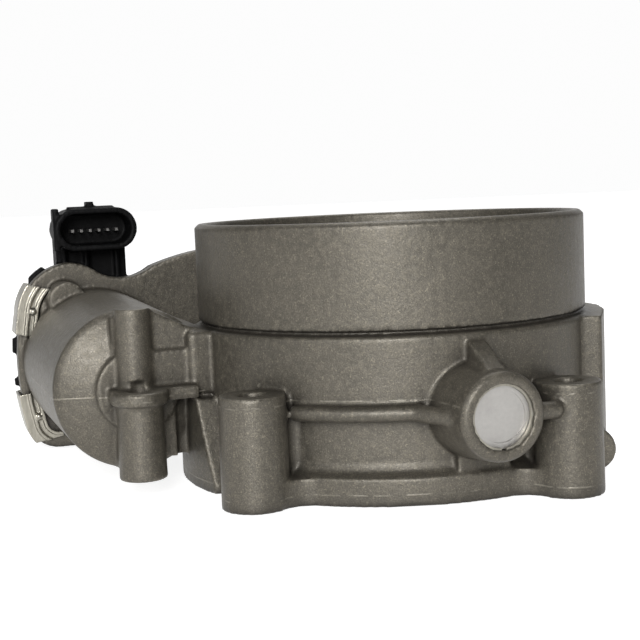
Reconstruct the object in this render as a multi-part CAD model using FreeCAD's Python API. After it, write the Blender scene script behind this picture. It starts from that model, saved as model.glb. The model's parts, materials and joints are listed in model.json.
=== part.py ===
"""Electronic throttle body, 90 mm bore class, in millimetres.

Everything is drawn in the shaft frame: origin on the bore axis at the mounting face, +Z towards the
inlet, +Y along the throttle shaft towards the gear case. place() then turns it about Z into the row
frame, whose X and Y run along the sides of the bolt rectangle.
"""
import FreeCAD
import Part
import math
import os

V = FreeCAD.Vector
Y_AXIS = V(0, 1, 0)
Z_AXIS = V(0, 0, 1)

# Bore, collar and flange
SHAFT_TURN = 16.8           # shaft axis against the long side of the bolt rectangle, degrees
BORE_R = 45.0
COLLAR_R = 51.2
COLLAR_MOUTH_R = 48.0
BODY_R = 52.2
LOWER_R = 51.0
SHOULDER_Z = 39.3
COLLAR_TOP_Z = 65.5
FLANGE_R = 54.0
FLANGE_T = 6.5
BLOCK_TURN = -21.7          # the right block's faces against the shaft, degrees

# Bolts
BOLT_X = 74.0
BOLT_Y = 93.0
BOSS_R = 7.9
BOSS_Z = 26.6
BOLT_HOLE_R = 3.3

# Throttle shaft, its bearings and the plate
SHAFT_Z = 21.4
SHAFT_R = 5.0
SHAFT_BORE_R = 5.25
FRONT_Y = -66.0
SHAFT_FRONT_Y = -60.0
SHAFT_REAR_Y = 79.0
FRONT_BOSS_R = 10.3
PLUG_R = 7.4
NEEDLE_R = 7.0
NEEDLE_Y = -59.5
NEEDLE_L = 9.0
BALL_BEARING_R = 11.0
BALL_BEARING_Y = 57.0
BALL_BEARING_W = 6.0
REAR_BOSS_R = 13.5
PLATE_R = 44.9
PLATE_T = 2.5
RUN = 0.03                  # radial running clearance

# Motor
MOTOR_X = -70.0
MOTOR_Z = 25.5
MOTOR_HOUSING_R = 20.4
MOTOR_FOOT_R = 21.3
MOTOR_FRONT_Y = 0.0
CAN_R = 17.6
CAN_FRONT_Y = 0.0
CAN_L = 62.0
CAP_T = 3.0
SCREW_RING_R = 20.9
SCREW_ANGLES = (114, 294)
EAR_R = 3.2
COLUMN_X = -70.9
COLUMN_Y = -11.0
LUG_TOP_Z = 26.4

# Gear case
CASE_FRONT_Y = 62.5
JOINT_Y = 68.0
GASKET_T = 1.0
COVER_FLANGE_T = 3.0
COVER_REAR_Y = 85.0
COVER_WALL = 2.0
COVER_INSET = 2.6
CASE_WALL = 2.5
RIM_W = 5.1                 # width of the tray's rim, which the gasket lies on
CASE_FOOT_Z = 0.3

# Gears, module 1
PINION_TEETH = 14
IDLER_TEETH = 46
SECTOR_TEETH = 35
GEAR_Y = 71.0
GEAR_W = 7.0
IDLER_X = -40.06
IDLER_Z = 27.36
IDLER_PIN_R = 2.5
PIN_FRONT_Y = 56.0

# Socket
SOCKET_X = -67.9
SOCKET_Z = 64.4
SOCKET_FRONT_Y = 60.0
SOCKET_LENGTH = 15.0
SOCKET_HALF_W = 12.0
SOCKET_HALF_H = 6.2
SOCKET_WALL = 1.6
TERMINALS = 6
TERMINAL_PITCH = 2.6


# Primitives

def cyl(radius, length, base, axis):
    return Part.makeCylinder(radius, length, base, axis)


def cone(radius_a, radius_b, length, base, axis):
    return Part.makeCone(radius_a, radius_b, length, base, axis)


def box(x, y, z):
    """A box from three (low, high) pairs."""
    return Part.makeBox(x[1] - x[0], y[1] - y[0], z[1] - z[0], V(x[0], y[0], z[0]))


def along_y(x, z, radius, y0, y1):
    return cyl(radius, y1 - y0, V(x, y0, z), Y_AXIS)


def tube_y(x, z, outer, inner, y0, y1):
    return along_y(x, z, outer, y0, y1).cut(along_y(x, z, inner, y0 - 1, y1 + 1))


def tube_z(outer, inner, z0, z1):
    ring = cyl(outer, z1 - z0, V(0, 0, z0), Z_AXIS)
    return ring.cut(cyl(inner, z1 - z0 + 2, V(0, 0, z0 - 1), Z_AXIS))


def fuse(shapes):
    first, rest = shapes[0], list(shapes[1:])
    return first.multiFuse(rest).removeSplitter() if rest else first


def group(shapes):
    return Part.makeCompound(shapes)


def polar(radius, degrees, z=0.0):
    return V(radius * math.cos(math.radians(degrees)), radius * math.sin(math.radians(degrees)), z)


def prism(points, push):
    wire = Part.makePolygon(points + [points[0]])
    return Part.Face(wire).extrude(push)


def revolve(points):
    """A closed (radius, z) outline turned about the bore axis."""
    wire = Part.makePolygon([V(r, 0, z) for r, z in points + [points[0]]])
    return Part.Face(wire).revolve(V(0, 0, 0), Z_AXIS, 360)


def place(shape):
    shape.rotate(V(0, 0, 0), Z_AXIS, SHAFT_TURN)
    return shape


def bolt_points():
    """The bolt centres, seen in the shaft frame."""
    turn = FreeCAD.Rotation(Z_AXIS, -SHAFT_TURN)
    corners = [(-1, -1), (1, -1), (1, 1), (-1, 1)]
    return [turn.multVec(V(i * BOLT_X / 2, j * BOLT_Y / 2, 0)) for i, j in corners]


# Gear case outline

def case_wire(y, inset=0.0):
    """The wavy outline of the gear case in the plane at y."""
    def at(x, z):
        return V(x, y, z)

    arcs = [
        (at(-91.2, 40), at(-86.6, 50.2), at(-76.5, 54.9)),
        (at(-76.5, 54.9), at(-71.6, 53.8), at(-67.6, 51.4)),
        (at(-67.6, 51.4), at(-58.8, 49.6), at(-51.4, 52.5)),
        (at(-51.4, 52.5), at(-41, 55.6), at(-28, 57.3)),
        (at(-28, 57.3), at(2, 48.6), at(20, 32)),
        (at(20, 32), at(23.5, 19), at(20.5, 7)),
        (at(20.5, 7), at(18, 2.2), at(13, CASE_FOOT_Z)),
    ]
    edges = [Part.Arc(*arc).toShape() for arc in arcs]
    edges.append(Part.LineSegment(at(13, CASE_FOOT_Z), at(-82, CASE_FOOT_Z)).toShape())
    edges.append(Part.Arc(at(-82, CASE_FOOT_Z), at(-87.6, 2.4), at(-90.4, 7.4)).toShape())
    edges.append(Part.Arc(at(-90.4, 7.4), at(-92.6, 24), at(-91.2, 40)).toShape())
    wire = Part.Wire(edges)
    return wire.makeOffset2D(-inset) if inset else wire


def case_slab(y0, y1, inset=0.0):
    return Part.Face(case_wire(y0, inset)).extrude(V(0, y1 - y0, 0))


# Housing casting

def bore_body():
    """Flange, wall, shoulder groove and inlet collar in one turned profile."""
    lip = 1.0
    groove_r = COLLAR_R - 1.3
    groove_top = SHOULDER_Z + 1.2
    outline = [
        (BORE_R, 0), (FLANGE_R, 0), (FLANGE_R, FLANGE_T), (LOWER_R + 0.8, FLANGE_T + 1.2),
        (LOWER_R, FLANGE_T + 3), (LOWER_R, SHAFT_Z), (BODY_R, SHAFT_Z + 2), (BODY_R, SHOULDER_Z - 0.6),
        (BODY_R - 0.6, SHOULDER_Z), (groove_r, SHOULDER_Z), (groove_r, groove_top), (COLLAR_R, groove_top),
        (COLLAR_R, COLLAR_TOP_Z - lip), (COLLAR_R - lip, COLLAR_TOP_Z),
        (COLLAR_MOUTH_R + 0.5, COLLAR_TOP_Z), (COLLAR_MOUTH_R, COLLAR_TOP_Z - 0.5),
        (COLLAR_MOUTH_R - 0.4, COLLAR_TOP_Z - 8), (BORE_R, SHOULDER_Z - 2),
    ]
    return revolve(outline)


def corner_web(centre, disc_r, boss_r, blend_r, z0, z1):
    """Fills the hollow corners between the round wall and one boss with a blend of blend_r."""
    wall_arm = disc_r + blend_r
    boss_arm = boss_r + blend_r
    reach = centre.Length
    cosine = (wall_arm ** 2 + reach ** 2 - boss_arm ** 2) / (2 * wall_arm * reach)
    spread = math.degrees(math.acos(cosine))
    middle = math.degrees(math.atan2(centre.y, centre.x))
    base = V(0, 0, z0)
    corners = [polar(wall_arm, middle - spread, z0), polar(wall_arm, middle + spread, z0)]
    kite = prism([base, corners[0], centre.add(base), corners[1]], V(0, 0, z1 - z0))
    return kite.cut(group([cyl(blend_r, z1 - z0 + 2, c.sub(Z_AXIS), Z_AXIS) for c in corners]))


def bolt_bosses():
    shapes = []
    for centre in bolt_points():
        shapes.append(cone(BOSS_R + 0.3, BOSS_R, BOSS_Z, centre, Z_AXIS))
        shapes.append(corner_web(centre, FLANGE_R, BOSS_R + 0.2, 7.0, 0, FLANGE_T))
        shapes.append(corner_web(centre, LOWER_R, BOSS_R - 0.2, 2.4, 0, BOSS_Z - 1.2))
    return shapes


def shaft_bosses():
    front = cone(12.0, FRONT_BOSS_R, -FRONT_Y - 48 - 1, V(0, -48, SHAFT_Z), V(0, -1, 0))
    nose = cone(FRONT_BOSS_R, FRONT_BOSS_R - 1, 1, V(0, FRONT_Y + 1, SHAFT_Z), V(0, -1, 0))
    rear = along_y(0, SHAFT_Z, REAR_BOSS_R, 46, JOINT_Y - 2)
    rib_points = [V(-2.4, -50, 37.2), V(-2.4, -53.6, 37.2), V(-2.4, -64, 31), V(-2.4, -50, 28)]
    gusset = prism(rib_points, V(4.8, 0, 0))
    keel = box((-5.5, 8), (-53, -48), (3, 13))
    return [front, nose, rear, gusset, keel]


def bead_ribs():
    """Round bars from the front bolt bosses to the shaft boss: the left one bends out from the wall."""
    thick = 1.9
    wall_z = 21.6
    left_bar = Part.makeTorus(53.2, thick, V(0, 0, wall_z), Z_AXIS, 0, 360, 32)
    left_bar.rotate(V(0, 0, 0), Z_AXIS, 222)
    bend = polar(53.2, 254, wall_z)
    end = V(-8.8, -60.6, 21.2)
    run = end.sub(bend)
    stub_from, stub_to = V(5, -60.2, 21), V(15.2, -60.9, 21)
    stub_run = stub_to.sub(stub_from)
    stub = fuse([cyl(2.1, stub_run.Length, stub_from, stub_run), Part.makeSphere(2.1, stub_to)])
    return [left_bar, Part.makeSphere(thick, bend), cyl(thick + 0.2, run.Length, bend, run), stub]


def rounded_box(x, y, z, radius):
    block = box(x, y, z)
    return block.makeFillet(radius, block.Edges)


def side_blocks():
    """The thick corner beside the right front bolt, its round lug, the left pad and the thick left wall."""
    plan = [(44, -22), (52.4, -22), (56.2, -3), (56.4, 8), (52, 22), (44, 26)]
    block = prism([V(x, y, 0) for x, y in plan], V(0, 0, SHOULDER_Z - 0.2))
    block.rotate(V(0, 0, 0), Z_AXIS, BLOCK_TURN)
    lug = cyl(5.4, 20, V(36.7, -41.8, 6.0), V(0.33, 0.94, 0))
    pad = rounded_box((-57.6, -50.4), (-8.4, 40), (23.4, SHOULDER_Z + 0.2), 1.6)
    side = [V(-60, y, z) for y, z in ((36, 0), (36, 22.6), (-9.5, 22.6), (-17.5, 2), (-17.5, 0))]
    wall = prism(side, V(20, 0, 0)).common(tube_z(FLANGE_R + 3.4, BORE_R + 2, 0, SHOULDER_Z))
    return [block, lug, pad, wall]


def motor_housing():
    length = CASE_FRONT_Y - MOTOR_FRONT_Y
    shell = cone(MOTOR_FOOT_R, MOTOR_HOUSING_R, length, V(MOTOR_X, CASE_FRONT_Y, MOTOR_Z), V(0, -1, 0))
    cap_rise = 4.2
    edge_r = MOTOR_HOUSING_R - 1.2
    ball_r = (edge_r ** 2 + cap_rise ** 2) / (2 * cap_rise)
    front = MOTOR_FRONT_Y - 1.0
    chamfer = cone(MOTOR_HOUSING_R, edge_r, 1.0, V(MOTOR_X, MOTOR_FRONT_Y, MOTOR_Z), V(0, -1, 0))
    ball = Part.makeSphere(ball_r, V(MOTOR_X, front - cap_rise + ball_r, MOTOR_Z))
    dome = ball.common(along_y(MOTOR_X, MOTOR_Z, edge_r, front - cap_rise - 1, front + 0.2))
    disc = along_y(MOTOR_X, MOTOR_Z, 10.4, front - cap_rise - 0.3, front)
    return [shell, chamfer, dome, disc]


def motor_columns():
    """Upper column on the dome, lower drilled column in front of it, and the lug that caps the lower one."""
    upper = cone(4.9, 4.5, 46.0 - MOTOR_Z, V(COLUMN_X + 0.4, -4.6, MOTOR_Z), Z_AXIS)
    lower = cone(5.9, 5.6, LUG_TOP_Z - 4.6, V(COLUMN_X, COLUMN_Y, 4.6), Z_AXIS)
    back_rib = box((-75.8, -66), (-4.2, 0), (8, 44))
    web = box((-75.6, -66.2), (COLUMN_Y, 0), (5.6, LUG_TOP_Z - 1))
    cap = cyl(7.0, 3.2, V(COLUMN_X, COLUMN_Y, LUG_TOP_Z - 3.2), Z_AXIS)
    bar = box((COLUMN_X - 6.6, -56), (COLUMN_Y, -3), (LUG_TOP_Z - 3.2, LUG_TOP_Z))
    return [upper, lower, back_rib, web, cap, bar]


def motor_webs():
    """The stepped web that ties the motor housing to the bore wall, with its sloping top."""
    slope = [(-70, 26), (-49, 26), (-49, 38.4), (-57.6, 41.0), (-65.7, 45.2), (-70, 45.2)]
    web = prism([V(x, -5.9, z) for x, z in slope], V(0, 46, 0))
    step = box((-68, -49), (-7.2, 4), (LUG_TOP_Z - 2, 35.2))
    low_web = box((-67, -49), (-2, 40), (8, 27))
    low_step = box((-64.8, -60.6), (-4.6, 6), (8, 24))
    return [web, step, low_web, low_step]


def gear_case():
    """The tray behind the bore, with the bosses of the motor screws and idler pin on its front."""
    tray = case_slab(CASE_FRONT_Y, JOINT_Y)
    bosses = [along_y(p.x, p.z, 5.2, CASE_FRONT_Y - 9, CASE_FRONT_Y) for p in motor_screw_points()]
    idler = along_y(IDLER_X, IDLER_Z, 5.0, CASE_FRONT_Y - 9, CASE_FRONT_Y)
    pad = box((-85.6, -82.6), (CASE_FRONT_Y - 2, CASE_FRONT_Y), (39.6, 46))
    return [tray, idler, pad] + bosses


def case_cavity():
    return case_slab(CASE_FRONT_Y + CASE_WALL, JOINT_Y + 1, RIM_W)


def case_posts():
    """Bosses that stand inside the tray: rear bearing, idler pin and motor screws."""
    bearing = along_y(0, SHAFT_Z, REAR_BOSS_R, 60, JOINT_Y - 2)
    idler = along_y(IDLER_X, IDLER_Z, 5.0, CASE_FRONT_Y, JOINT_Y)
    return [bearing, idler]


def motor_cuts():
    """Bore for the can, pockets for the end cap's ears and holes for its screws."""
    rear = CAN_FRONT_Y + CAN_L
    cuts = [along_y(MOTOR_X, MOTOR_Z, CAN_R, CAN_FRONT_Y - 0.6, JOINT_Y + 1)]
    for spot in motor_screw_points():
        cuts.append(along_y(spot.x, spot.z, EAR_R + 0.3, rear + 0.2, JOINT_Y + 1))
        cuts.append(along_y(spot.x, spot.z, 1.7, rear - 8, JOINT_Y))
    for angle in SCREW_ANGLES:
        neck = motor_ring_point(CAN_R - 1, angle)
        cuts.append(along_y(neck.x, neck.z, EAR_R + 0.3, rear + 0.2, JOINT_Y + 1))
    return cuts


def housing_cuts():
    cuts = [cyl(BORE_R, 90, V(0, 0, -5), Z_AXIS)]
    for centre in bolt_points():
        cuts.append(cyl(BOLT_HOLE_R, 40, centre.add(V(0, 0, -1)), Z_AXIS))
        cuts.append(cyl(BOSS_R - 0.6, 50, centre.add(V(0, 0, BOSS_Z)), Z_AXIS))
    cuts.append(along_y(0, SHAFT_Z, SHAFT_BORE_R, FRONT_Y - 1, JOINT_Y + 1))
    cuts.append(along_y(0, SHAFT_Z, NEEDLE_R, FRONT_Y - 1, NEEDLE_Y + NEEDLE_L))
    cuts.append(along_y(0, SHAFT_Z, PLUG_R, FRONT_Y - 1, FRONT_Y + 4.2))
    cuts.append(along_y(0, SHAFT_Z, PLUG_R + 0.6, FRONT_Y + 0.7, FRONT_Y + 1.7))
    cuts.append(along_y(0, SHAFT_Z, BALL_BEARING_R, BALL_BEARING_Y, JOINT_Y + 1))
    cuts.append(along_y(0, SHAFT_Z, 8.0, BALL_BEARING_Y - 4.5, JOINT_Y + 1))
    cuts.append(along_y(0, SHAFT_Z, 7.0, NEEDLE_Y + NEEDLE_L - 0.1, NEEDLE_Y + NEEDLE_L + 2.6))
    cuts.append(along_y(IDLER_X, IDLER_Z, IDLER_PIN_R, PIN_FRONT_Y, JOINT_Y + 1))
    cuts.append(cyl(2.7, 18, V(COLUMN_X, COLUMN_Y, LUG_TOP_Z - 16), Z_AXIS))
    return cuts + motor_cuts() + clip_notches()


def throttle_housing():
    body = fuse([bore_body()] + bolt_bosses() + shaft_bosses() + bead_ribs() + side_blocks()
                + motor_housing() + motor_columns() + motor_webs() + gear_case())
    body = fuse([body.cut(case_cavity())] + case_posts())
    for cut in housing_cuts():
        body = body.cut(cut)
    body = body.common(box((-200, 200), (-200, 200), (0, 200)))
    return max(body.Solids, key=lambda solid: solid.Volume)


# Front end of the shaft

def shaft_end_plug():
    disc = along_y(0, SHAFT_Z, PLUG_R - 0.05, FRONT_Y + 1.9, FRONT_Y + 3.6)
    dish = along_y(0, SHAFT_Z, PLUG_R - 1.4, FRONT_Y + 1.5, FRONT_Y + 2.2)
    return disc.cut(dish)


def plug_retaining_ring():
    ring = tube_y(0, SHAFT_Z, PLUG_R + 0.5, PLUG_R - 0.4, FRONT_Y + 0.75, FRONT_Y + 1.65)
    return ring.cut(box((-0.6, 0.6), (FRONT_Y, FRONT_Y + 3), (0, SHAFT_Z)))


def front_bearing_shell():
    tube = tube_y(0, SHAFT_Z, NEEDLE_R, NEEDLE_R - 0.5, NEEDLE_Y, NEEDLE_Y + NEEDLE_L)
    lips = [tube_y(0, SHAFT_Z, NEEDLE_R, SHAFT_R + 0.4, y, y + 0.6)
            for y in (NEEDLE_Y, NEEDLE_Y + NEEDLE_L - 0.6)]
    return fuse([tube] + lips)


def front_bearing_rollers():
    count = 16
    radius = (NEEDLE_R - 0.5 - SHAFT_R - 2 * RUN) / 2
    ring = SHAFT_R + RUN + radius
    rollers = []
    for i in range(count):
        spot = polar(ring, 360 * i / count)
        rollers.append(along_y(spot.x, SHAFT_Z + spot.y, radius, NEEDLE_Y + 0.8, NEEDLE_Y + NEEDLE_L - 0.8))
    return group(rollers)


def shaft_seal(y0, outer):
    return tube_y(0, SHAFT_Z, outer, SHAFT_R + RUN, y0, y0 + 2.2)


# Rear ball bearing

def race(outer, inner, groove_r, ball_r):
    middle = BALL_BEARING_Y + BALL_BEARING_W / 2
    ring = tube_y(0, SHAFT_Z, outer, inner, BALL_BEARING_Y, BALL_BEARING_Y + BALL_BEARING_W)
    groove = Part.makeTorus(groove_r, ball_r, V(0, middle, SHAFT_Z), Y_AXIS)
    return ring.cut(groove)


def bearing_parts():
    ball_r = 1.7
    track = 8.0
    outer = race(BALL_BEARING_R, 9.1, track, ball_r + 0.03)
    inner = race(6.9, SHAFT_R, track, ball_r + 0.03)
    middle = BALL_BEARING_Y + BALL_BEARING_W / 2
    balls = []
    for i in range(10):
        spot = polar(track, 36 * i)
        balls.append(Part.makeSphere(ball_r, V(spot.x, middle, SHAFT_Z + spot.y)))
    return outer, inner, group(balls)


# Throttle

def throttle_shaft():
    shaft = along_y(0, SHAFT_Z, SHAFT_R, SHAFT_FRONT_Y, SHAFT_REAR_Y)
    slot = box((-PLATE_R, PLATE_R), (-PLATE_R - 0.4, PLATE_R + 0.4),
               (SHAFT_Z - PLATE_T / 2, SHAFT_Z + PLATE_T / 2))
    flats = [box((-9, 9), (JOINT_Y + 1, SHAFT_REAR_Y + 1), z)
             for z in ((SHAFT_Z + 3.8, SHAFT_Z + 9), (SHAFT_Z - 9, SHAFT_Z - 3.8))]
    shaft = shaft.cut(slot).cut(group(flats))
    for y in (-18, 18):
        shaft = shaft.cut(cyl(1.6, 20, V(0, y, SHAFT_Z - 10), Z_AXIS))
    return shaft


def throttle_plate():
    plate = cyl(PLATE_R, PLATE_T, V(0, 0, SHAFT_Z - PLATE_T / 2), Z_AXIS)
    for y in (-18, 18):
        plate = plate.cut(cyl(1.7, 20, V(0, y, SHAFT_Z - 10), Z_AXIS))
    return plate


def screw(base, axis, shank_r, length, head_r, head_h):
    """A socket-head screw; base is under the head and axis points along the shank."""
    axis = V(axis).normalize()
    back = V(axis).multiply(-head_h)
    head = cyl(head_r, head_h, base.add(back), axis)
    socket = cyl(head_r * 0.5, head_h * 0.6, base.add(back), axis)
    return fuse([cyl(shank_r, length, base, axis), head]).cut(socket)


def plate_screws():
    return group([screw(V(0, y, SHAFT_Z + SHAFT_R), V(0, 0, -1), 1.6, 9.2, 2.9, 1.8) for y in (-18, 18)])


# Gears

def involute_flank(base_r, start_r, tip_r, steps=5):
    """(radius, angle) pairs along an involute from start_r to tip_r."""
    first = max(base_r, start_r)
    pairs = []
    for i in range(steps + 1):
        radius = first + (tip_r - first) * i / steps
        pressure = math.acos(min(1.0, base_r / radius))
        pairs.append((radius, math.tan(pressure) - pressure))
    return pairs


def tooth_outline(teeth, centre_angle, backlash=0.14):
    """The points of one tooth, root to root, as (radius, angle) pairs in radians."""
    pitch_r = teeth / 2
    base_r = pitch_r * math.cos(math.radians(20))
    root_r = pitch_r - 1.2
    tip_r = pitch_r + 0.9
    pitch_pressure = math.radians(20)
    pitch_involute = math.tan(pitch_pressure) - pitch_pressure
    half = (math.pi / 2 - backlash) / 2 / pitch_r + pitch_involute
    flank = involute_flank(base_r, root_r, tip_r)
    rising = [(r, centre_angle - half + a) for r, a in flank]
    falling = [(r, centre_angle + half - a) for r, a in reversed(flank)]
    return [(root_r, rising[0][1])] + rising + falling + [(root_r, falling[-1][1])]


def gear_blank(x, z, teeth, phase, y0, width, first=0, count=None):
    """A toothed disc about (x, z); phase is the angle of the first tooth's centre."""
    count = teeth if count is None else count
    pitch = 2 * math.pi / teeth
    shapes = [along_y(x, z, teeth / 2 - 1.1, y0, y0 + width)]
    for i in range(first, first + count):
        outline = tooth_outline(teeth, phase + i * pitch)
        points = [V(x + r * math.cos(a), y0, z + r * math.sin(a)) for r, a in outline]
        inner = teeth / 2 - 2.2
        middle = phase + i * pitch
        points.append(V(x + inner * math.cos(middle), y0, z + inner * math.sin(middle)))
        shapes.append(prism(points, V(0, width, 0)))
    return fuse(shapes)


def mesh_angles():
    """Directions of the two lines of centres, in radians in the X-Z plane."""
    to_idler = math.atan2(IDLER_Z - SHAFT_Z, IDLER_X)
    to_motor = math.atan2(MOTOR_Z - IDLER_Z, MOTOR_X - IDLER_X)
    return to_idler, to_motor


def idler_phase():
    """A gap of the idler faces the sector's tooth on the line of centres."""
    to_idler, _ = mesh_angles()
    return to_idler + math.pi + math.pi / IDLER_TEETH


def pinion_phase():
    """A gap of the pinion faces whichever part of the idler's pitch lies on the second line of centres."""
    _, to_motor = mesh_angles()
    pitch = 2 * math.pi / IDLER_TEETH
    offset = (to_motor - idler_phase()) % pitch
    return to_motor + math.pi + (offset * IDLER_TEETH / PINION_TEETH) + math.pi / PINION_TEETH


def sector_gear():
    """Plastic sector: ten teeth below the mesh point when the plate is shut."""
    to_idler, _ = mesh_angles()
    wheel = gear_blank(0, SHAFT_Z, SECTOR_TEETH, to_idler, GEAR_Y, GEAR_W, -1, 11)
    keep_from = math.degrees(to_idler) - 15
    keep_to = math.degrees(to_idler) + 102
    points = [V(0, GEAR_Y - 1, SHAFT_Z)]
    for i in range(5):
        angle = math.radians(keep_from + (keep_to - keep_from) * i / 4)
        points.append(V(40 * math.cos(angle), GEAR_Y - 1, SHAFT_Z + 40 * math.sin(angle)))
    arc = wheel.common(prism(points, V(0, GEAR_W + 2, 0)))
    hub = along_y(0, SHAFT_Z, 9.5, GEAR_Y, SHAFT_REAR_Y)
    gear = fuse([arc, hub])
    return gear.cut(along_y(0, SHAFT_Z, 7.0, GEAR_Y - 1, SHAFT_REAR_Y + 1))


def sector_insert():
    """Steel insert moulded in the sector's hub and pressed on the shaft's flats."""
    ring = along_y(0, SHAFT_Z, 7.0, GEAR_Y, GEAR_Y + 3)
    hole = along_y(0, SHAFT_Z, SHAFT_R, GEAR_Y - 1, GEAR_Y + 4)
    flats = box((-9, 9), (GEAR_Y - 1, GEAR_Y + 4), (SHAFT_Z - 3.8, SHAFT_Z + 3.8))
    return ring.cut(hole.common(flats))


def position_magnet():
    return tube_y(0, SHAFT_Z, 7.0, SHAFT_R, GEAR_Y + 3.2, SHAFT_REAR_Y - 0.4)


def idler_gear():
    wheel = gear_blank(IDLER_X, IDLER_Z, IDLER_TEETH, idler_phase(), GEAR_Y, GEAR_W)
    recess = tube_y(IDLER_X, IDLER_Z, 19.5, 6.5, GEAR_Y + 2.6, GEAR_Y + GEAR_W + 1)
    wheel = fuse([wheel.cut(recess), along_y(IDLER_X, IDLER_Z, 6.0, JOINT_Y + 0.3, GEAR_Y + GEAR_W + 1.5)])
    for i in range(6):
        spot = polar(13, 60 * i + 30)
        wheel = wheel.cut(along_y(IDLER_X + spot.x, IDLER_Z + spot.y, 3.4, GEAR_Y - 1, GEAR_Y + GEAR_W))
    return wheel.cut(along_y(IDLER_X, IDLER_Z, IDLER_PIN_R + RUN, JOINT_Y - 1, GEAR_Y + GEAR_W + 3))


def idler_pin():
    return along_y(IDLER_X, IDLER_Z, IDLER_PIN_R, PIN_FRONT_Y, COVER_REAR_Y - COVER_WALL - 0.3)


def return_spring():
    """The wound space of the torsion spring, between the case and the sector."""
    turns = [Part.makeTorus(11.3, 0.75, V(0, JOINT_Y - 1 + 1.55 * i, SHAFT_Z), Y_AXIS) for i in range(2)]
    return group(turns)


def spring_bush():
    return tube_y(0, SHAFT_Z, 9.8, SHAFT_R + 0.6, JOINT_Y - 2, GEAR_Y - 0.3)


# Motor

def motor_can():
    outer = along_y(MOTOR_X, MOTOR_Z, CAN_R - 0.15, CAN_FRONT_Y, CAN_FRONT_Y + CAN_L)
    inner = along_y(MOTOR_X, MOTOR_Z, CAN_R - 1.35, CAN_FRONT_Y + 1.2, CAN_FRONT_Y + CAN_L + 1)
    return outer.cut(inner).cut(along_y(MOTOR_X, MOTOR_Z, 3.5, CAN_FRONT_Y - 1, CAN_FRONT_Y + 3))


def motor_ring_point(radius, angle):
    spot = polar(radius, angle)
    return V(MOTOR_X + spot.x, 0, MOTOR_Z + spot.y)


def motor_screw_points():
    return [motor_ring_point(SCREW_RING_R, angle) for angle in SCREW_ANGLES]


def motor_end_cap():
    rear = CAN_FRONT_Y + CAN_L
    plate = along_y(MOTOR_X, MOTOR_Z, CAN_R - 0.15, rear + 0.05, rear + CAP_T)
    spigot = along_y(MOTOR_X, MOTOR_Z, CAN_R - 1.5, rear - 3, rear + 0.1)
    ears = []
    for angle in SCREW_ANGLES:
        for radius in (SCREW_RING_R, CAN_R - 1):
            spot = motor_ring_point(radius, angle)
            ears.append(along_y(spot.x, spot.z, EAR_R, rear + 0.3, rear + CAP_T))
    cap = fuse([plate, spigot] + ears)
    cap = cap.cut(along_y(MOTOR_X, MOTOR_Z, CAN_R - 3.5, rear - 4, rear - 0.4))
    cap = cap.cut(along_y(MOTOR_X, MOTOR_Z, 3.5, rear - 5, rear + 5))
    for spot in motor_screw_points():
        cap = cap.cut(along_y(spot.x, spot.z, 1.8, rear - 1, rear + 4))
    return cap


def motor_screws():
    seat_y = CAN_FRONT_Y + CAN_L + CAP_T
    return group([screw(V(s.x, seat_y, s.z), V(0, -1, 0), 1.6, 9, 2.8, 1.8) for s in motor_screw_points()])


def motor_magnets():
    ring = tube_y(MOTOR_X, MOTOR_Z, CAN_R - 1.45, 13.2, CAN_FRONT_Y + 4, CAN_FRONT_Y + CAN_L - 10)
    gap = group([box((MOTOR_X - 20, MOTOR_X + 20), (0, CAN_L), (MOTOR_Z - 3, MOTOR_Z + 3))])
    return ring.cut(gap)


def motor_shaft():
    return along_y(MOTOR_X, MOTOR_Z, 1.6, CAN_FRONT_Y + 0.2, GEAR_Y + GEAR_W + 1)


def motor_armature():
    core = tube_y(MOTOR_X, MOTOR_Z, 12.6, 1.6, CAN_FRONT_Y + 6, CAN_FRONT_Y + CAN_L - 12)
    for i in range(5):
        spot = polar(11.6, 72 * i)
        core = core.cut(along_y(MOTOR_X + spot.x, MOTOR_Z + spot.y, 2.4, 0, CAN_L))
    return core


def motor_windings():
    coils = []
    for i in range(5):
        spot = polar(11.3, 72 * i)
        y0, y1 = CAN_FRONT_Y + 4.5, CAN_FRONT_Y + CAN_L - 10.5
        coils.append(along_y(MOTOR_X + spot.x, MOTOR_Z + spot.y, 1.3, y0, y1))
    return group(coils)


def motor_commutator():
    rear = CAN_FRONT_Y + CAN_L
    drum = tube_y(MOTOR_X, MOTOR_Z, 5.0, 1.6, rear - 9.5, rear - 2)
    for i in range(10):
        slit = box((4.2, 6), (0, CAN_L), (-0.2, 0.2))
        slit.rotate(V(0, 0, 0), Y_AXIS, 36 * i)
        slit.translate(V(MOTOR_X, 0, MOTOR_Z))
        drum = drum.cut(slit)
    return drum


def motor_brushes():
    y = (CAN_FRONT_Y + CAN_L - 8, CAN_FRONT_Y + CAN_L - 4)
    z = (MOTOR_Z - 2, MOTOR_Z + 2)
    left = box((MOTOR_X - 11, MOTOR_X - 5.1), y, z)
    right = box((MOTOR_X + 5.1, MOTOR_X + 11), y, z)
    return group([left, right])


def motor_bushes():
    rear = CAN_FRONT_Y + CAN_L
    front = tube_y(MOTOR_X, MOTOR_Z, 3.5, 1.6 + RUN, CAN_FRONT_Y, CAN_FRONT_Y + 3.4)
    return group([front, tube_y(MOTOR_X, MOTOR_Z, 3.5, 1.6 + RUN, rear - 1.5, rear + 3)])


def motor_pinion():
    pinion = gear_blank(MOTOR_X, MOTOR_Z, PINION_TEETH, pinion_phase(), GEAR_Y - 1, GEAR_W + 2)
    return pinion.cut(along_y(MOTOR_X, MOTOR_Z, 1.6, GEAR_Y - 2, GEAR_Y + GEAR_W + 3))


def motor_terminals():
    rear = CAN_FRONT_Y + CAN_L + CAP_T + 0.05
    blades = [box((x, x + 0.8), (rear, GEAR_Y - 2), (MOTOR_Z + 11, MOTOR_Z + 14.5))
              for x in (MOTOR_X - 7, MOTOR_X + 6.2)]
    return group(blades)


# Cover and seal

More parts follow.
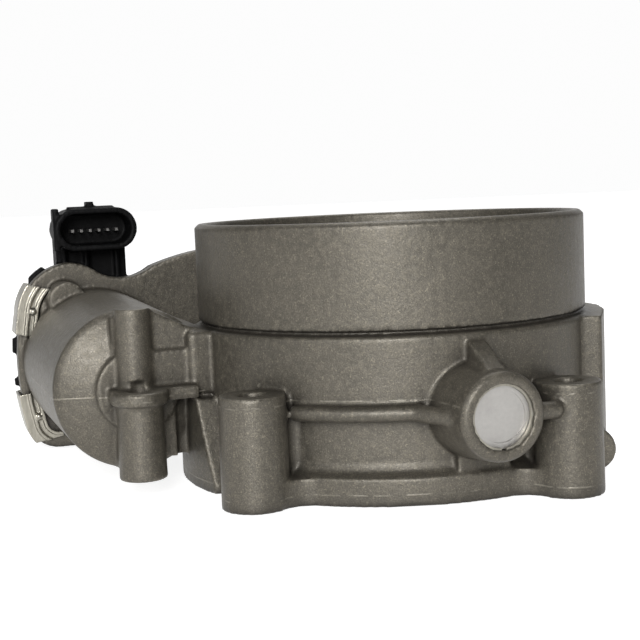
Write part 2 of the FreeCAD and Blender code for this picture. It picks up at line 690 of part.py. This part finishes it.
def cover_gasket():
    y0 = JOINT_Y + 0.05
    ring = case_slab(y0, y0 + GASKET_T - 0.1, 0.5)
    return ring.cut(case_slab(y0 - 1, y0 + 2, 4.0))


def stadium(half_w, half_h, y0, y1):
    """A flat oval block about the socket's axis."""
    straight = half_w - half_h
    core = box((SOCKET_X - straight, SOCKET_X + straight), (y0, y1), (SOCKET_Z - half_h, SOCKET_Z + half_h))
    ends = [along_y(SOCKET_X + side * straight, SOCKET_Z, half_h, y0, y1) for side in (-1, 1)]
    return fuse([core] + ends)


def socket_shell():
    y0, y1 = SOCKET_FRONT_Y, SOCKET_FRONT_Y + SOCKET_LENGTH
    shell = stadium(SOCKET_HALF_W, SOCKET_HALF_H, y0, y1)
    wing = box((SOCKET_X - SOCKET_HALF_W - 0.4, SOCKET_X - SOCKET_HALF_W + 1.4), (y0 + 0.8, y0 + 6),
               (SOCKET_Z - 6, SOCKET_Z + 6.4))
    latch = box((SOCKET_X - 2.3, SOCKET_X - 0.3), (y0 + 1, y0 + 7), (SOCKET_Z + 5, SOCKET_Z + 8.1))
    bar = box((SOCKET_X - 8.0, SOCKET_X + 5.4), (y0 + 1.6, y0 + 4), (SOCKET_Z + 5, SOCKET_Z + 6.8))
    rib_front = JOINT_Y + GASKET_T + 0.1
    tower = box((SOCKET_X - 10.9, SOCKET_X + 9.9), (rib_front + 1.2, y1 + 4), (44, SOCKET_Z))
    ribs = [box((SOCKET_X + x, SOCKET_X + x + 1.4), (rib_front, y1), (48, SOCKET_Z - 4))
            for x in (-9.4, -2.8, 6.4)]
    return [shell, wing, latch, bar, tower] + ribs


def cover_tabs():
    """Three short tabs of the cover's flange that stand past the case's rim between the clips."""
    flange_y = JOINT_Y + GASKET_T
    skirt = case_slab(flange_y, flange_y + COVER_FLANGE_T, -0.9)
    spans = [((-95, -85), (28.6, 33)), ((-95, -85), (18.8, 21)), ((-87.4, -83), (46, 56))]
    return [skirt.common(box(x, (0, 90), z)) for x, z in spans]


def gear_cover():
    flange_y = JOINT_Y + GASKET_T
    flange = case_slab(flange_y, flange_y + COVER_FLANGE_T, 0.3)
    sump = box((-80, 17), (0, 200), (-1, 11))
    dome = case_slab(flange_y, COVER_REAR_Y - 1.2, COVER_INSET)
    keel = case_slab(flange_y, COVER_REAR_Y - 1.2, 0.5).common(sump)
    crown = case_slab(COVER_REAR_Y - 1.2, COVER_REAR_Y, COVER_INSET + 1.3)
    magnet_pot = along_y(0, SHAFT_Z, 12, COVER_REAR_Y - 1, COVER_REAR_Y + 1.6)
    motor_pot = along_y(MOTOR_X, MOTOR_Z, 9, COVER_REAR_Y - 1, COVER_REAR_Y + 1.2)
    body = fuse([flange, dome, keel, crown, magnet_pot, motor_pot] + cover_tabs() + socket_shell())
    body = body.cut(case_slab(flange_y - 1, COVER_REAR_Y - COVER_WALL, COVER_INSET + COVER_WALL))
    well = box((-78, 15), (0, 200), (-1, 11))
    body = body.cut(case_slab(flange_y - 1, COVER_REAR_Y - COVER_WALL, 2.3).common(well))
    body = body.cut(along_y(IDLER_X, IDLER_Z, IDLER_TEETH / 2 + 1.5, flange_y - 1, COVER_REAR_Y - COVER_WALL))
    mouth = stadium(SOCKET_HALF_W - SOCKET_WALL, SOCKET_HALF_H - SOCKET_WALL, SOCKET_FRONT_Y - 1,
                    SOCKET_FRONT_Y + 10)
    body = body.cut(mouth)
    for x, z in terminal_spots():
        slot = box((x - 0.45, x + 0.45), (SOCKET_FRONT_Y, SOCKET_FRONT_Y + 12.5), (z - 0.45, z + 0.45))
        body = body.cut(slot)
    return max(body.Solids, key=lambda solid: solid.Volume)


def terminal_spots():
    first = SOCKET_X - TERMINAL_PITCH * (TERMINALS - 1) / 2
    return [(first + TERMINAL_PITCH * i, SOCKET_Z - 0.4) for i in range(TERMINALS)]


def connector_terminals():
    y0, y1 = SOCKET_FRONT_Y + 4, SOCKET_FRONT_Y + 12.4
    return group([box((x - 0.4, x + 0.4), (y0, y1), (z - 0.4, z + 0.4)) for x, z in terminal_spots()])


def sensor_board():
    """The position sensor's board on the cover's inner face, over the magnet."""
    rear = COVER_REAR_Y - COVER_WALL - 0.05
    board = box((-18, 8), (rear - 1.2, rear), (10, 35))
    chip = box((-3.5, 3.5), (rear - 2.4, rear - 1.2), (SHAFT_Z - 3, SHAFT_Z + 3))
    return fuse([board, chip])


def rim_band(y0, y1, outer, inner):
    """A band that follows the case's rim, from outer to inner millimetres inside its outline."""
    return case_slab(y0, y1, outer).cut(case_slab(y0 - 1, y1 + 1, inner))


def clip_seats():
    """Each clip's middle on the rim, its outward direction in degrees and its length."""
    return [(-90.6, 42.0, 165.8, 15.0), (-91.0, 9.6, 190.3, 15.0), (-8.5, 54.6, 63.0, 14.0),
            (22.6, 24.4, 12.0, 12.0)]


def rim_window(x, z, outward, length, y):
    """A block across the rim at one clip's place."""
    window = box((-4, 9), y, (-length / 2, length / 2))
    window.rotate(V(0, 0, 0), Y_AXIS, 180 - outward)
    window.translate(V(x, 0, z))
    return window


def clip_notches():
    """Room in front of the rim for each clip's front leg."""
    depth = 3.2
    y = (CASE_FRONT_Y - depth, CASE_FRONT_Y)
    band = rim_band(y[0], y[1], -3.0, 5.3)
    return [band.common(rim_window(x, z, outward, length + 0.8, y)) for x, z, outward, length in clip_seats()]


def cover_clips():
    """Stamped clips that follow the rim: web, front leg with two ridges and a rivet mark, short rear leg."""
    t = 0.7
    gap = 0.05
    outside = -1.0
    front = CASE_FRONT_Y - gap
    rear = JOINT_Y + GASKET_T + COVER_FLANGE_T + gap
    band = fuse([
        rim_band(front - t, rear + t, outside, outside + t),
        rim_band(front - t, front, outside, 5.0),
        rim_band(rear, rear + t, outside, 2.2),
        rim_band(front - t - 0.7, front, 1.5, 2.5),
        rim_band(front - t - 0.7, front, 4.0, 5.0),
    ])
    clips = []
    for x, z, outward, length in clip_seats():
        window = rim_window(x, z, outward, length, (front - 3, rear + 3))
        inward = polar(3.2, outward)
        rivet = Part.makeSphere(1.1, V(x - inward.x, front - t, z - inward.y))
        rivet = rivet.common(box((-200, 200), (front - 5, front - t / 2), (-50, 100)))
        clips.append(fuse([band.common(window), rivet]))
    return group(clips)


def build():
    outer_race, inner_race, balls = bearing_parts()
    return {
        "throttle_housing": throttle_housing(),
        "shaft_end_plug": shaft_end_plug(),
        "plug_retaining_ring": plug_retaining_ring(),
        "front_bearing_shell": front_bearing_shell(),
        "front_bearing_rollers": front_bearing_rollers(),
        "front_shaft_seal": shaft_seal(NEEDLE_Y + NEEDLE_L + 0.2, 7.0),
        "rear_shaft_seal": shaft_seal(BALL_BEARING_Y - 3, 8.0),
        "rear_bearing_outer_race": outer_race,
        "rear_bearing_inner_race": inner_race,
        "rear_bearing_balls": balls,
        "throttle_shaft": throttle_shaft(),
        "throttle_plate": throttle_plate(),
        "plate_screws": plate_screws(),
        "sector_gear": sector_gear(),
        "sector_insert": sector_insert(),
        "position_magnet": position_magnet(),
        "return_spring": return_spring(),
        "spring_bush": spring_bush(),
        "idler_gear": idler_gear(),
        "idler_pin": idler_pin(),
        "motor_can": motor_can(),
        "motor_end_cap": motor_end_cap(),
        "motor_screws": motor_screws(),
        "motor_magnets": motor_magnets(),
        "motor_shaft": motor_shaft(),
        "motor_armature": motor_armature(),
        "motor_windings": motor_windings(),
        "motor_commutator": motor_commutator(),
        "motor_brushes": motor_brushes(),
        "motor_bushes": motor_bushes(),
        "motor_pinion": motor_pinion(),
        "motor_terminals": motor_terminals(),
        "cover_gasket": cover_gasket(),
        "gear_cover": gear_cover(),
        "connector_terminals": connector_terminals(),
        "sensor_board": sensor_board(),
        "cover_clips": cover_clips(),
    }


os.makedirs("parts", exist_ok=True)
for node, shape in build().items():
    solid = place(shape)
    solid.exportStep("parts/" + node + ".step")
    print(node, round(solid.Volume, 1), len(solid.Solids), solid.isValid())
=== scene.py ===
"""Looks for the electronic throttle body: camera, studio, materials and finished skins."""
import json
import math
import bmesh
import bpy
from mathutils import Matrix, Vector

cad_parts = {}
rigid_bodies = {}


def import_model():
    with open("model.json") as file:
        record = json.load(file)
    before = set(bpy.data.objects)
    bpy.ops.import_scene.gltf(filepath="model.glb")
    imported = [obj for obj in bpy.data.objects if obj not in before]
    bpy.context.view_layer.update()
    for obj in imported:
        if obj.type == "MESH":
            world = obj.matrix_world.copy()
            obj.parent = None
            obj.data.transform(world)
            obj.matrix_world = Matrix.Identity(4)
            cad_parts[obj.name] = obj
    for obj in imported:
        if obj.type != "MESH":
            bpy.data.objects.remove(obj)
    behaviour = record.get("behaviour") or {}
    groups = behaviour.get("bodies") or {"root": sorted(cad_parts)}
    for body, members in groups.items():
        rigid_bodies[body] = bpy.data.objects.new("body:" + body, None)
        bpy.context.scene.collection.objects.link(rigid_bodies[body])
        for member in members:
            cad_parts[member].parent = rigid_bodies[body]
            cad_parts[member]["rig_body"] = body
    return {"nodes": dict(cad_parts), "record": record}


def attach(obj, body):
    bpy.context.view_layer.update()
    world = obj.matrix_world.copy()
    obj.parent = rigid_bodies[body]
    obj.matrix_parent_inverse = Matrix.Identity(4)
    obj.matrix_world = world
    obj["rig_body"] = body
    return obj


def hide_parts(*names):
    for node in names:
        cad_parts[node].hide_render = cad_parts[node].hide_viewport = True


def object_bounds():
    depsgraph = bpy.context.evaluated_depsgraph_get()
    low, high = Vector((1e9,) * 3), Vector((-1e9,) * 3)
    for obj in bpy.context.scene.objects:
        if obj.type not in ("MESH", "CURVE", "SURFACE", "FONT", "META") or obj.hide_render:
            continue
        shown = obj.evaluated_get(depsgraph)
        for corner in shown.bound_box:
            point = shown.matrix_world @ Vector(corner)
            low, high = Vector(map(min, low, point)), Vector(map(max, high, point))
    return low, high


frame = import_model()
CAD_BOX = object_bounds()

MM = 0.001
NODES = frame["nodes"]
UP = Vector((0, 0, 1))

# Camera, placed from the bore axis at the mounting face; angles in degrees
CAMERA_AZIMUTH = 4.9
CAMERA_DISTANCE = 341 * MM
CAMERA_HEIGHT = 73.3 * MM
CAMERA_YAW = -3.19
CAMERA_PITCH = 5.85
CAMERA_ROLL = 2.41
LENS_MM = 71.72
SENSOR_MM = 36.0

FLOOR_HALF = 6.0            # metres each way from the middle
FLOOR_GAP = 0.2 * MM
WELD = 0.002 * MM           # corners of a CAD mesh nearer than this are one corner

# Mould lines on the casting, above the mounting face
PARTING_HEIGHTS = (24.4 * MM, 2.7 * MM)

# Tones of the casting
CAST_DARK = (0.076, 0.069, 0.055)
CAST_LIGHT = (0.104, 0.094, 0.076)
CAST_SANDY = (0.128, 0.115, 0.090)
CAST_PIT = (0.048, 0.043, 0.035)
CAST_SPARKLE = (0.215, 0.192, 0.145)
# Painted shade: the tone that hollows and creases of the casting are darkened towards
CAST_PAINTED_SHADE = (0.024, 0.021, 0.017)
CAST_RUBBED = (0.27, 0.25, 0.205)

# Finished skins: the CAD node, the piece's name, the voxel in millimetres and the smoothing steps
SKINS = (
    ("throttle_housing", "housing_casting", 0.5, 3),
    ("gear_cover", "cover_moulding", 0.45, 2),
    ("cover_clips", "stamped_clips", 0.2, 2),
)


# Camera

def add_camera():
    """Low three-quarter front view, slightly rolled, of the collar and the shaft end."""
    turn = Matrix.Rotation(-math.radians(CAMERA_AZIMUTH), 3, "Z")
    place = turn @ Vector((0, -CAMERA_DISTANCE, CAMERA_HEIGHT))
    yaw, pitch, roll = (math.radians(angle) for angle in (CAMERA_YAW, CAMERA_PITCH, CAMERA_ROLL))
    level = turn @ Vector((math.sin(yaw), math.cos(yaw), 0))
    right = turn @ Vector((math.cos(yaw), -math.sin(yaw), 0))
    forward = level * math.cos(pitch) - UP * math.sin(pitch)
    above = UP * math.cos(pitch) + level * math.sin(pitch)
    cam_right = right * math.cos(roll) - above * math.sin(roll)
    cam_up = right * math.sin(roll) + above * math.cos(roll)
    data = bpy.data.cameras.new("camera")
    data.lens = LENS_MM
    data.sensor_width = SENSOR_MM
    data.clip_start = 0.01
    camera = bpy.data.objects.new("camera", data)
    rotation = Matrix((cam_right, cam_up, -forward)).transposed()
    camera.matrix_world = Matrix.Translation(place) @ rotation.to_4x4()
    bpy.context.scene.collection.objects.link(camera)
    bpy.context.scene.camera = camera


# Studio

def area_light(name, place, target, size, watts):
    data = bpy.data.lights.new(name, "AREA")
    data.shape = "RECTANGLE"
    data.size, data.size_y = size
    data.energy = watts
    lamp = bpy.data.objects.new(name, data)
    lamp.location = place
    lamp.rotation_euler = (Vector(target) - Vector(place)).to_track_quat("-Z", "Y").to_euler()
    bpy.context.scene.collection.objects.link(lamp)


def add_world():
    """White behind the object and dim elsewhere, so that the metal has light and dark to show."""
    world = bpy.data.worlds.new("studio")
    bpy.context.scene.world = world
    world.use_nodes = True
    tree = world.node_tree
    background = tree.nodes["Background"]
    coords = tree.nodes.new("ShaderNodeTexCoord")
    split = tree.nodes.new("ShaderNodeSeparateXYZ")
    ramp = tree.nodes.new("ShaderNodeMapRange")
    ramp.interpolation_type = "SMOOTHSTEP"
    for key, value in (("From Min", 0.62), ("From Max", 0.90), ("To Min", 0.16), ("To Max", 0.98)):
        ramp.inputs[key].default_value = value
    tree.links.new(coords.outputs["Generated"], split.inputs["Vector"])
    tree.links.new(split.outputs["Y"], ramp.inputs["Value"])
    tree.links.new(ramp.outputs["Result"], background.inputs["Strength"])
    background.inputs["Color"].default_value = (1, 1, 1, 1)


def add_studio():
    bpy.context.scene.view_settings.view_transform = "Standard"
    add_world()
    middle = (0, 0, 0.03)
    area_light("front", (-0.14, -1.08, 0.42), middle, (0.36, 0.42), 14.5)
    area_light("left", (-0.95, -0.65, 0.5), middle, (0.4, 0.6), 2.5)
    area_light("top", (0.1, 0.5, 1.3), middle, (0.7, 0.7), 10)


def floor_paint():
    """Matt pale paint with a glow of its own, so that the floor stays even out to the horizon."""
    graph = Graph("floor_paint")
    speck = graph.noise(4.0)
    tone = graph.blend(speck, (0.4, 0.4, 0.4), (0.388, 0.388, 0.388))
    rough = graph.ramp(speck, 0, 1, 0.57, 0.63)
    graph.shader.inputs["Emission Color"].default_value = (1, 1, 1, 1)
    graph.shader.inputs["Emission Strength"].default_value = 0.85
    return graph.finish(tone, rough, metallic=0.0)


def add_floor():
    mesh = bpy.data.meshes.new("floor")
    build = bmesh.new()
    bmesh.ops.create_grid(build, x_segments=1, y_segments=1, size=FLOOR_HALF)
    build.to_mesh(mesh)
    build.free()
    floor = bpy.data.objects.new("floor", mesh)
    floor.location.z = CAD_BOX[0][2] - FLOOR_GAP
    floor.data.materials.append(floor_paint())
    bpy.context.scene.collection.objects.link(floor)


# Materials

class Graph:
    """A small helper that adds and links shader nodes."""

    def __init__(self, name):
        self.material = bpy.data.materials.new(name)
        self.material.use_nodes = True
        self.tree = self.material.node_tree
        self.shader = self.tree.nodes["Principled BSDF"]
        self.coords = self.add("ShaderNodeTexCoord").outputs["Object"]

    def add(self, kind, **values):
        node = self.tree.nodes.new(kind)
        for key, value in values.items():
            setattr(node, key, value)
        return node

    def link(self, source, target):
        self.tree.links.new(source, target)

    def stretched(self, scale):
        mapping = self.add("ShaderNodeMapping")
        mapping.inputs["Scale"].default_value = scale
        self.link(self.coords, mapping.inputs["Vector"])
        return mapping.outputs["Vector"]

    def noise(self, size_mm, detail=3.0, rough=0.55, vector=None):
        """Noise whose blobs are about size_mm across; the output runs from 0 to 1."""
        node = self.add("ShaderNodeTexNoise")
        node.inputs["Scale"].default_value = 1.0 / (size_mm * MM)
        node.inputs["Detail"].default_value = detail
        node.inputs["Roughness"].default_value = rough
        self.link(vector or self.coords, node.inputs["Vector"])
        return node.outputs["Fac"]

    def ramp(self, value, low, high, out_low=0.0, out_high=1.0):
        node = self.add("ShaderNodeMapRange")
        limits = {"From Min": low, "From Max": high, "To Min": out_low, "To Max": out_high}
        for key, number in limits.items():
            node.inputs[key].default_value = number
        self.link(value, node.inputs["Value"])
        return node.outputs["Result"]

    def blend(self, factor, colour_a, colour_b):
        node = self.add("ShaderNodeMix", data_type="RGBA")
        self.link(factor, node.inputs["Factor"])
        for colour, key in ((colour_a, "A"), (colour_b, "B")):
            socket = [s for s in node.inputs if s.name == key and s.type == "RGBA"][0]
            if isinstance(colour, tuple):
                socket.default_value = (*colour, 1)
            else:
                self.link(colour, socket)
        return [s for s in node.outputs if s.type == "RGBA"][0]

    def maths(self, operation, a, b):
        node = self.add("ShaderNodeMath", operation=operation)
        for i, value in enumerate((a, b)):
            if isinstance(value, (int, float)):
                node.inputs[i].default_value = value
            else:
                self.link(value, node.inputs[i])
        return node.outputs[0]

    def edges(self, low, high):
        """1 on convex edges, 0 elsewhere."""
        geometry = self.add("ShaderNodeNewGeometry")
        return self.ramp(geometry.outputs["Pointiness"], low, high)

    def bump(self, height, depth_mm, normal=None):
        node = self.add("ShaderNodeBump")
        node.inputs["Strength"].default_value = 1.0
        node.inputs["Distance"].default_value = depth_mm * MM
        self.link(height, node.inputs["Height"])
        if normal:
            self.link(normal, node.inputs["Normal"])
        return node.outputs["Normal"]

    def finish(self, colour=None, roughness=None, normal=None, **constants):
        for socket, key in ((colour, "Base Color"), (roughness, "Roughness"), (normal, "Normal")):
            if socket is not None:
                self.link(socket, self.shader.inputs[key])
        for key, value in constants.items():
            self.shader.inputs[key.replace("_", " ").title()].default_value = value
        return self.material


def parting_lines(graph):
    """Faint raised lines that the mould halves leave at two heights, broken up by wear."""
    height = graph.add("ShaderNodeSeparateXYZ")
    graph.link(graph.coords, height.inputs["Vector"])
    wobble = graph.ramp(graph.noise(9.0), 0, 1, -0.0002, 0.0002)
    level = graph.maths("ADD", height.outputs["Z"], wobble)
    wear = graph.ramp(graph.noise(5.0, 4.0), 0.46, 0.56)
    total = None
    for z in PARTING_HEIGHTS:
        away = graph.maths("ABSOLUTE", graph.maths("SUBTRACT", level, z), 0)
        line = graph.ramp(away, 0.0001, 0.00028, 1.0, 0.0)
        total = line if total is None else graph.maths("MAXIMUM", total, line)
    return graph.maths("MULTIPLY", total, wear)


def cast_metal():
    """Die-cast aluminium, blasted: warm grey, sandy grain, painted shade in the hollows and rubbed
    edges.
    """
    graph = Graph("cast_aluminium")
    grain = graph.noise(0.34, 2.0, 0.65)
    sparkle = graph.noise(0.42, 1.0, 0.5)
    clumps = graph.noise(1.6, 4.0, 0.6)
    patches = graph.noise(16.0, 3.0, 0.5)
    base = graph.blend(graph.ramp(patches, 0.35, 0.65), CAST_DARK, CAST_LIGHT)
    base = graph.blend(graph.ramp(clumps, 0.42, 0.72), base, CAST_SANDY)
    base = graph.blend(graph.ramp(grain, 0.60, 0.42, 0.0, 0.55), base, CAST_PIT)
    base = graph.blend(graph.ramp(sparkle, 0.60, 0.74, 0.0, 0.5), base, CAST_SPARKLE)
    # Painted shade: ambient occlusion darkens the colour in hollows and creases towards the painted
    # shade tone
    painted_shade_ao = graph.add("ShaderNodeAmbientOcclusion", samples=6)
    painted_shade_ao.inputs["Distance"].default_value = 4.5 * MM
    ao_unshaded = graph.ramp(painted_shade_ao.outputs["AO"], 0.35, 0.92)
    base = graph.blend(ao_unshaded, CAST_PAINTED_SHADE, base)
    worn = graph.maths("MULTIPLY", graph.edges(0.525, 0.575), graph.ramp(clumps, 0.40, 0.6))
    base = graph.blend(graph.maths("MULTIPLY", worn, 0.5), base, CAST_RUBBED)
    lines = parting_lines(graph)
    base = graph.blend(graph.maths("MULTIPLY", lines, 0.38), base, CAST_RUBBED)
    rough = graph.ramp(clumps, 0.3, 0.7, 0.40, 0.54)
    normal = graph.bump(grain, 0.045)
    normal = graph.bump(clumps, 0.10, normal)
    normal = graph.bump(lines, 0.06, normal)
    return graph.finish(base, rough, normal, metallic=0.55)


def machined_metal(name, light, dark, roughness, stretch):
    """Turned or ground metal with fine tool lines and small rubs."""
    graph = Graph(name)
    lines = graph.noise(0.9, 3.0, 0.6, graph.stretched(stretch))
    smudge = graph.noise(7.0, 3.0, 0.55)
    base = graph.blend(lines, dark, light)
    base = graph.blend(graph.ramp(smudge, 0.5, 0.75, 0.0, 0.35), base, tuple(0.75 * c for c in dark))
    rough = graph.ramp(smudge, 0.3, 0.7, roughness - 0.06, roughness + 0.08)
    return graph.finish(base, rough, graph.bump(lines, 0.012), metallic=0.95)


def moulded_plastic(name, light, dark, roughness, gloss):
    """Filled plastic with fine spark grain, dusty high spots and slight gloss changes."""
    graph = Graph(name)
    grain = graph.noise(0.22, 2.0, 0.5)
    dust = graph.noise(3.5, 5.0, 0.65)
    base = graph.blend(graph.ramp(dust, 0.45, 0.75), dark, light)
    rub = graph.maths("MULTIPLY", graph.edges(0.52, 0.58), 0.5)
    base = graph.blend(rub, base, tuple(1.8 * c + 0.004 for c in light))
    rough = graph.ramp(dust, 0.3, 0.7, roughness - 0.06, roughness + 0.08)
    normal = graph.bump(dust, 0.03, graph.bump(grain, 0.02))
    graph.shader.inputs["Specular IOR Level"].default_value = gloss
    return graph.finish(base, rough, normal, metallic=0.0)


def make_metals():
    """Each metal's light and dark tone, its roughness and how its tool lines are stretched."""
    turned = (1, 1, 12)
    metals = {
        "zinc_steel": ((0.47, 0.455, 0.435), (0.37, 0.36, 0.345), 0.50, (1, 1, 1)),
        "spring_steel": ((0.40, 0.38, 0.325), (0.20, 0.188, 0.158), 0.36, (1, 1, 0.2)),
        "bearing_steel": ((0.66, 0.66, 0.67), (0.52, 0.52, 0.54), 0.22, turned),
        "turned_steel": ((0.62, 0.62, 0.62), (0.44, 0.44, 0.45), 0.3, turned),
        "plate_aluminium": ((0.30, 0.295, 0.285), (0.20, 0.196, 0.19), 0.52, (1, 14, 1)),
        "copper": ((0.78, 0.47, 0.28), (0.55, 0.30, 0.16), 0.3, turned),
        # terminal_tin is darker than bare tin: its tones carry painted shade for the connector mouth
        # that the pins sit in
        "terminal_tin": ((0.17, 0.165, 0.16), (0.10, 0.097, 0.094), 0.45, turned),
    }
    return {name: machined_metal(name, *look) for name, look in metals.items()}


def make_plastics():
    """Each moulded material's light and dark tone, its roughness and its gloss."""
    satin = 0.3
    dull = 0.06
    plastics = {
        "seal_rubber": ((0.035, 0.034, 0.033), (0.018, 0.018, 0.018), 0.7, satin),
        "gear_plastic": ((0.14, 0.13, 0.115), (0.09, 0.085, 0.075), 0.5, satin),
        "magnet": ((0.08, 0.08, 0.085), (0.04, 0.04, 0.045), 0.45, satin),
        "black_plastic": ((0.0050, 0.0050, 0.0052), (0.0022, 0.0022, 0.0023), 0.50, dull),
        "board_green": ((0.03, 0.16, 0.07), (0.015, 0.09, 0.04), 0.4, satin),
    }
    return {name: moulded_plastic(name, *look) for name, look in plastics.items()}


def make_materials():
    """One material for each slot that the record names."""
    return {"cast_aluminium": cast_metal(), **make_metals(), **make_plastics()}


# Skins: finished surfaces that stand for CAD nodes

def skin(node, name, voxel_mm, smooth_steps):
    """The node's shape with every edge and corner softened, as a mould or a press leaves it."""
    source = NODES[node]
    build = bmesh.new()
    build.from_mesh(source.data)
    bmesh.ops.remove_doubles(build, verts=build.verts, dist=WELD)
    mesh = bpy.data.meshes.new(name)
    build.to_mesh(mesh)
    build.free()
    piece = bpy.data.objects.new(name, mesh)
    bpy.context.scene.collection.objects.link(piece)
    remesh = piece.modifiers.new("remesh", "REMESH")
    remesh.mode = "VOXEL"
    remesh.voxel_size = voxel_mm * MM
    smooth = piece.modifiers.new("smooth", "SMOOTH")
    smooth.factor = 0.5
    smooth.iterations = smooth_steps
    graph = bpy.context.evaluated_depsgraph_get()
    final = bpy.data.meshes.new_from_object(piece.evaluated_get(graph))
    piece.modifiers.clear()
    piece.data = final
    final.name = name
    final.shade_smooth()
    return piece


def stand_for(piece, node, slot, materials):
    piece.data.materials.clear()
    piece.data.materials.append(materials[slot])
    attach(piece, NODES[node]["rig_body"])
    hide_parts(node)


def paint_nodes(slots, materials):
    for name, node in NODES.items():
        node.data.materials.clear()
        node.data.materials.append(materials[slots[name]])


def main():
    slots = {entry["node"]: entry["material_slot"] for entry in frame["record"]["subparts"]}
    materials = make_materials()
    paint_nodes(slots, materials)
    add_floor()
    add_studio()
    add_camera()
    for node, name, voxel_mm, smooth_steps in SKINS:
        piece = skin(node, name, voxel_mm, smooth_steps)
        stand_for(piece, node, slots[node], materials)


main()
